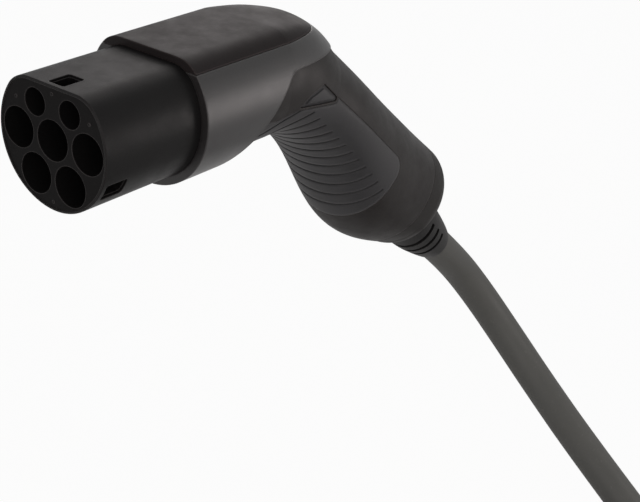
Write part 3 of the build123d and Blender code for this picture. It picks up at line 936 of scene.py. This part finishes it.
class PLUG_OT_cable(bpy.types.Operator):
    """Make the cable, with its coil and its free end"""

    bl_idname = "plug.cable"
    bl_label = "Cable"

    def execute(self, context):
        settings = context.scene.plug_cable
        jacket = extruded_jacket("Polyurethane jacket, extruded", settings.jacket_colour, gloss=0.3)
        cable = cable_curve(settings, jacket)
        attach(cable, "root")
        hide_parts("cable_run", "cable_coil", "cable_tail")
        dress(jacket, "cable_entry")
        return {"FINISHED"}


class PLUG_OT_cable_end(bpy.types.Operator):
    """Finish the coil's ties and the stripped cores at the free end"""

    bl_idname = "plug.cable_end"
    bl_label = "Cable end and ties"

    def execute(self, context):
        finish = context.scene.plug_finish
        dress(woven_tie("Polyamide hook-and-loop, woven", finish.tie), "coil_ties")
        dress(extruded_insulation("PVC insulation, extruded grey", linear(END_CORE_COLOUR)), "end_cores")
        tinned = turned_metal("Tinned copper, crimped", linear(FERRULE_COLOUR), marks=1.2, rough=(0.3, 0.45))
        dress(tinned, "end_ferrules")
        return {"FINISHED"}


# ---- plug -----------------------------------------------------------------------------------------

class PLUG_OT_nose(bpy.types.Operator):
    """Finish the nose shell, the contact carrier and what holds them"""

    bl_idname = "plug.nose"
    bl_label = "Nose"

    def execute(self, context):
        finish = context.scene.plug_finish
        # The shell's edges get a strong painted highlight, with some real rubbing.
        shell = moulded_plastic(
            "PBT, moulded nose",
            finish.nose,
            grain=0.6,
            rough=(0.34, 0.46),
            gloss=0.14,
            edge_wear_and_highlight=5.0,
        )
        # The carrier's edges and well mouths get the strongest painted highlight, with some real rubbing.
        block = moulded_plastic(
            "Glass-filled PA, moulded carrier",
            finish.carrier,
            grain=0.9,
            rough=(0.4, 0.55),
            gloss=0.08,
            edge=0.5,
            edge_wear_and_highlight=9.0,
        )
        dress(shell, "nose_shell")
        dress(block, "contact_carrier", "contact_base", "contact_retainer")
        dress(moulded_rubber("EPDM, moulded seal", finish.rubber), "nose_seal")
        return {"FINISHED"}


class PLUG_OT_contacts(bpy.types.Operator):
    """Finish the contact pins, their tips, the wires behind them and the coding resistor"""

    bl_idname = "plug.contacts"
    bl_label = "Contacts"

    def execute(self, context):
        finish = context.scene.plug_finish
        silver = turned_metal("Silver-plated copper, turned", finish.pin)
        tip = moulded_plastic(
            "PA, moulded tip",
            linear(TIP_COLOUR),
            grain=0.5,
            rough=(0.3, 0.4),
            gloss=0.4,
            edge=0.2,
        )
        for name, core_colour in CORE_COLOURS.items():
            dress(silver, f"{name}_pin")
            dress(tip, f"{name}_tip")
            insulation = extruded_insulation(f"PVC insulation, {name} core", linear(core_colour))
            dress(insulation, f"{name}_wire")
        steel = turned_metal("Zinc-plated steel, rolled", finish.steel, marks=0.8, rough=(0.32, 0.48))
        dress(steel, "retainer_screws", "clamp_screws")
        ceramic = moulded_plastic(
            "Ceramic, lacquered resistor",
            finish.ceramic,
            grain=0.5,
            rough=(0.3, 0.45),
            gloss=0.5,
            edge=0.15,
        )
        dress(ceramic, "coding_resistor")
        return {"FINISHED"}


class PLUG_OT_housing(bpy.types.Operator):
    """Finish the hood, the handle, the grip inlay and the end cap"""

    bl_idname = "plug.housing"
    bl_label = "Housing"

    def execute(self, context):
        finish = context.scene.plug_finish
        hood = moulded_plastic(
            "PBT, moulded hood",
            finish.hood,
            grain=0.8,
            rough=(0.38, 0.52),
            gloss=0.12,
            edge=0.8,
        )
        # The hood's part of the handle gets a darker colour as painted shade, and a coat.
        body = moulded_plastic(
            "PBT, moulded handle",
            finish.housing,
            grain=0.8,
            rough=(0.38, 0.52),
            gloss=0.2,
            edge=0.8,
            front=finish.shaded_hood_side,
        )
        inlay = moulded_rubber(
            "TPE, moulded grip",
            finish.inlay,
            grain=0.7,
            rough=(0.46, 0.6),
            gloss=0.5,
            edge=2.0,
        )
        cap = moulded_plastic("PBT, moulded cap", finish.cap, grain=0.8, rough=(0.4, 0.54), gloss=0.12)
        dress(hood, "hood_cover")
        dress(body, "housing_body")
        dress(inlay, "grip_inlay", "cheek_panel")
        dress(cap, "end_cap")
        return {"FINISHED"}


class PLUG_OT_cable_entry(bpy.types.Operator):
    """Finish the boot, the cable seal and the clamp"""

    bl_idname = "plug.cable_entry"
    bl_label = "Cable entry"

    def execute(self, context):
        finish = context.scene.plug_finish
        dress(moulded_rubber("TPE, moulded boot", finish.rubber, grain=0.8), "cable_boot")
        dress(moulded_rubber("EPDM, moulded cable seal", finish.rubber), "cable_seal")
        dress(moulded_plastic("PA, moulded clamp", linear(CLAMP_COLOUR), grain=0.7), "cable_clamp")
        return {"FINISHED"}


# ---- studio ---------------------------------------------------------------------------------------

# What the lamps are aimed at, in metres: the middle of the plug, and the hood's side.
MIDDLE = (0.12, 0.0, -0.05)
HOOD_SIDE = (0.09, -0.03, 0.0)
# name, azimuth and elevation in degrees, distance and size in metres, and what it is aimed at
LAMPS = [
    ("key", 36, 46, 1.1, 0.9, MIDDLE),
    ("back", 36, 18, 1.1, 0.5, MIDDLE),
    ("fill", -137, 15, 1.05, 0.8, MIDDLE),
    ("front", 180, 15, 1.1, 0.7, MIDDLE),
    ("side", -45, -5, 0.42, 0.16, HOOD_SIDE),
]


def add_lamp(name, azimuth, elevation, distance, size, aim, power, colour):
    """A square soft lamp, placed by direction and distance from the point that it is aimed at."""
    lamp = bpy.data.lights.new(name, "AREA")
    lamp.shape = "SQUARE"
    lamp.size = size
    lamp.energy = power
    lamp.color = colour
    light = bpy.data.objects.new(name, lamp)
    turn, lift = math.radians(azimuth), math.radians(elevation)
    way = Vector((math.cos(turn) * math.cos(lift), math.sin(turn) * math.cos(lift), math.sin(lift)))
    light.location = Vector(aim) + way * distance
    light.rotation_euler = way.to_track_quat("Z", "Y").to_euler()
    light.visible_camera = False
    bpy.context.scene.collection.objects.link(light)


def light_world(strength):
    """Even light from all round, white where the camera sees it."""
    world = bpy.data.worlds.new("studio")
    world.use_nodes = True
    tree = world.node_tree
    tree.nodes.clear()
    ray = add_node(tree, "ShaderNodeLightPath")
    seen = add_node(
        tree,
        "ShaderNodeMath",
        {0: ray.outputs["Is Camera Ray"], 1: ray.outputs["Is Transmission Ray"]},
        operation="MAXIMUM",
    )
    shown = add_node(
        tree,
        "ShaderNodeMath",
        {0: ray.outputs["Is Glossy Ray"], 1: GLOSSY_WHITE, 2: seen.outputs["Value"]},
        operation="MULTIPLY_ADD",
    )
    around = add_node(tree, "ShaderNodeBackground", {"Color": (1.0, 1.0, 1.0), "Strength": strength})
    behind = add_node(tree, "ShaderNodeBackground", {"Color": (1.0, 1.0, 1.0), "Strength": 1.0})
    both = add_node(
        tree,
        "ShaderNodeMixShader",
        {
            "Fac": shown.outputs["Value"],
            1: around.outputs["Background"],
            2: behind.outputs["Background"],
        },
    )
    add_node(tree, "ShaderNodeOutputWorld", {"Surface": both.outputs["Shader"]})
    bpy.context.scene.world = world


def add_camera(settings):
    """The camera, on a line from its aim point."""
    azimuth, elevation = settings.azimuth, settings.elevation
    back = Vector((
        math.sin(azimuth) * math.cos(elevation),
        -math.cos(azimuth) * math.cos(elevation),
        math.sin(elevation),
    ))
    camera_data = bpy.data.cameras.new("camera")
    camera_data.sensor_width = 36.0
    camera_data.sensor_fit = "HORIZONTAL"
    camera_data.lens = settings.lens
    camera_data.clip_start = 0.01
    camera = bpy.data.objects.new("camera", camera_data)
    turn = Euler((math.pi / 2 - elevation, 0.0, azimuth), "XYZ").to_matrix()
    turn = turn @ Matrix.Rotation(settings.roll, 3, "Z")
    place = Matrix.Translation(Vector(settings.aim_point) + back * settings.distance)
    camera.matrix_world = place @ turn.to_4x4()
    bpy.context.scene.collection.objects.link(camera)
    bpy.context.scene.camera = camera


class PLUG_OT_stage(bpy.types.Operator):
    """Make the floor, the lamps and the camera"""

    bl_idname = "plug.stage"
    bl_label = "Studio"

    def execute(self, context):
        settings = context.scene.plug_studio
        half = settings.floor_size / 2
        floor_z = CAD_BOX[0][2]
        mesh = bpy.data.meshes.new("studio_floor")
        corners = [(-half, -half, 0), (half, -half, 0), (half, half, 0), (-half, half, 0)]
        mesh.from_pydata(corners, [], [(0, 1, 2, 3)])
        floor = bpy.data.objects.new("studio_floor", mesh)
        floor.location = (0.0, 0.0, floor_z)
        context.scene.collection.objects.link(floor)
        mesh.materials.append(painted_floor("Studio paint, rolled", settings.floor_colour))

        for name, azimuth, elevation, distance, size, aim in LAMPS:
            power, colour = getattr(settings, f"{name}_power"), settings.lamp_colour
            add_lamp(f"{name}_lamp", azimuth, elevation, distance, size, aim, power, colour)
        light_world(settings.ambient)
        add_camera(context.scene.plug_camera)
        context.scene.view_settings.view_transform = "Standard"
        return {"FINISHED"}


# ---- add-on ---------------------------------------------------------------------------------------

class PLUG_PT_panel(bpy.types.Panel):
    """The charging plug's pieces"""

    bl_label = "Charging Plug"
    bl_idname = "PLUG_PT_panel"
    bl_space_type = "VIEW_3D"
    bl_region_type = "UI"
    bl_category = "Charging Plug"

    def draw(self, context):
        for piece in PIECES:
            self.layout.operator(piece.bl_idname)
        for group in SETTINGS:
            settings = getattr(context.scene, group)
            box = self.layout.box()
            for name in settings.bl_rna.properties.keys():
                if name not in {"rna_type", "name"}:
                    box.prop(settings, name)


SETTINGS = {
    "plug_camera": CameraSettings,
    "plug_studio": StudioSettings,
    "plug_cable": CableSettings,
    "plug_finish": FinishSettings,
}
PIECES = [
    PLUG_OT_stage,
    PLUG_OT_cable,
    PLUG_OT_cable_end,
    PLUG_OT_nose,
    PLUG_OT_contacts,
    PLUG_OT_housing,
    PLUG_OT_cable_entry,
]
CLASSES = [*SETTINGS.values(), *PIECES, PLUG_PT_panel]


def register():
    for cls in CLASSES:
        bpy.utils.register_class(cls)
    for group, cls in SETTINGS.items():
        setattr(bpy.types.Scene, group, PointerProperty(type=cls))


def unregister():
    for group in SETTINGS:
        delattr(bpy.types.Scene, group)
    for cls in reversed(CLASSES):
        bpy.utils.unregister_class(cls)


def main():
    register()
    bpy.ops.plug.stage()
    bpy.ops.plug.cable()
    bpy.ops.plug.cable_end()
    bpy.ops.plug.nose()
    bpy.ops.plug.contacts()
    bpy.ops.plug.housing()
    bpy.ops.plug.cable_entry()


if __name__ == "__main__":
    main()
